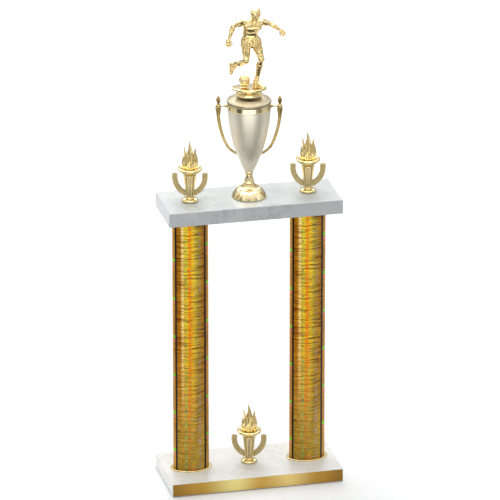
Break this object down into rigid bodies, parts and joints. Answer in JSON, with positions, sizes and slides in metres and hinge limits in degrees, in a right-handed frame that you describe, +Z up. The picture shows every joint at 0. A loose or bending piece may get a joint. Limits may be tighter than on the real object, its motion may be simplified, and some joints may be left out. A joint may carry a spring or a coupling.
{
  "type": "figure trophy",
  "caption": "Column trophy with marble base and shelf, foiled columns, lidded two-handled cup, torches and a kicking ball player on top.",
  "frame": {"origin": "middle of the base on the surface it stands on", "axes": "+Z up, +X to the right seen from the front, -Y the front with the gold strip"},
  "size_m": [0.28, 0.128, 0.7922],
  "materials": {
    "marble": "polished pale marble with grey veins",
    "gold_plate": "brushed gold strip, lacquered",
    "felt": "black felt",
    "gold_trim": "polished gold plate",
    "tube_plastic": "plain moulded plastic",
    "column_foil": "gold holographic foil with black pinstripes",
    "zinc_steel": "zinc-plated steel",
    "cup_polished": "polished pale gold",
    "cup_satin": "satin champagne gold",
    "handle_gold": "cast gold, satin with bright ridges",
    "figure_gold": "bright gold metallised",
    "torch_gold": "metallised gold with matte leaves"
  },
  "bodies": {
    "root": {"base_slab": "marble", "top_slab": "marble", "front_plate": "gold_plate", "base_pads": "felt", "column_trim_left": "gold_trim", "column_trim_right": "gold_trim", "column_tube_left": "tube_plastic", "column_tube_right": "tube_plastic", "column_plug_left_foot": "tube_plastic", "column_plug_left_head": "tube_plastic", "column_plug_right_foot": "tube_plastic", "column_plug_right_head": "tube_plastic", "column_film_left": "column_foil", "column_film_right": "column_foil", "column_rod_left": "zinc_steel", "column_rod_right": "zinc_steel", "torch_stud_base": "zinc_steel", "base_washers": "zinc_steel", "base_nuts": "zinc_steel", "cup_rod": "zinc_steel", "cup_nut": "zinc_steel", "cup_washer": "zinc_steel", "handle_screws": "zinc_steel", "cup_foot": "cup_polished", "cup_collar": "cup_polished", "cup_stem": "cup_polished", "cup_calyx": "cup_polished", "cup_band": "cup_polished", "figure_riser": "cup_polished", "figure_stand": "cup_polished", "cup_bowl": "cup_satin", "cup_lid": "cup_satin", "cup_handle_left": "handle_gold", "cup_handle_right": "handle_gold", "figure_player": "figure_gold", "figure_ball": "figure_gold", "torch_foot_left": "torch_gold", "torch_grip_left": "torch_gold", "torch_dish_left": "torch_gold", "torch_flame_left": "torch_gold", "torch_foot_right": "torch_gold", "torch_grip_right": "torch_gold", "torch_dish_right": "torch_gold", "torch_flame_right": "torch_gold", "torch_foot_base": "torch_gold", "torch_grip_base": "torch_gold", "torch_dish_base": "torch_gold", "torch_flame_base": "torch_gold"}
  },
  "joints": []
}
